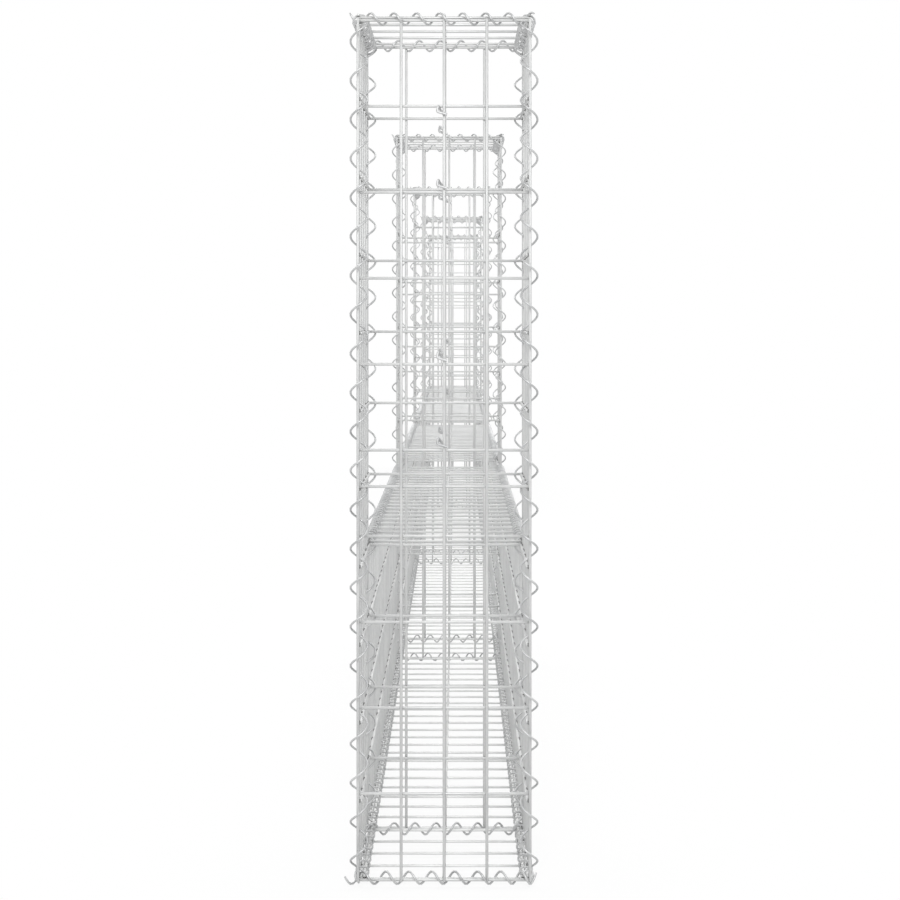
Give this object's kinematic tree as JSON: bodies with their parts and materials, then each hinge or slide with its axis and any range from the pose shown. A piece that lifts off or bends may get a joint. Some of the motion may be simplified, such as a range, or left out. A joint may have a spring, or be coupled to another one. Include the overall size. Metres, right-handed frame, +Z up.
{
  "type": "gabion wall",
  "caption": "Empty castellated gabion wall of welded steel mesh, with tall square columns, low bays between them, lacing spirals and tie rods.",
  "frame": {"origin": "middle of the wall's footprint, at ground level", "axes": "+Z up, +Y along the wall away from the first column, X across the wall"},
  "size_m": [0.2176, 5.7174, 1.0111],
  "materials": {
    "panel_wire": "satin",
    "lacing_wire": "satin",
    "tie_rod": "satin"
  },
  "bodies": {
    "root": {"column_1_front_panel": "panel_wire", "column_1_back_panel": "panel_wire", "column_1_left_panel": "panel_wire", "column_1_right_panel": "panel_wire", "column_1_floor": "panel_wire", "column_1_cover": "panel_wire", "column_1_spirals": "lacing_wire", "column_2_front_panel": "panel_wire", "column_2_back_panel": "panel_wire", "column_2_left_panel": "panel_wire", "column_2_right_panel": "panel_wire", "column_2_floor": "panel_wire", "column_2_cover": "panel_wire", "column_2_spirals": "lacing_wire", "column_3_front_panel": "panel_wire", "column_3_back_panel": "panel_wire", "column_3_left_panel": "panel_wire", "column_3_right_panel": "panel_wire", "column_3_floor": "panel_wire", "column_3_cover": "panel_wire", "column_3_spirals": "lacing_wire", "column_4_front_panel": "panel_wire", "column_4_back_panel": "panel_wire", "column_4_left_panel": "panel_wire", "column_4_right_panel": "panel_wire", "column_4_floor": "panel_wire", "column_4_cover": "panel_wire", "column_4_spirals": "lacing_wire", "column_5_front_panel": "panel_wire", "column_5_back_panel": "panel_wire", "column_5_left_panel": "panel_wire", "column_5_right_panel": "panel_wire", "column_5_floor": "panel_wire", "column_5_cover": "panel_wire", "column_5_spirals": "lacing_wire", "bay_1_left_panel": "panel_wire", "bay_1_right_panel": "panel_wire", "bay_1_floor": "panel_wire", "bay_1_cover": "panel_wire", "bay_2_left_panel": "panel_wire", "bay_2_right_panel": "panel_wire", "bay_2_floor": "panel_wire", "bay_2_cover": "panel_wire", "bay_3_left_panel": "panel_wire", "bay_3_right_panel": "panel_wire", "bay_3_floor": "panel_wire", "bay_3_cover": "panel_wire", "bay_4_left_panel": "panel_wire", "bay_4_right_panel": "panel_wire", "bay_4_floor": "panel_wire", "bay_4_cover": "panel_wire", "tie_rods": "tie_rod"}
  },
  "joints": []
}
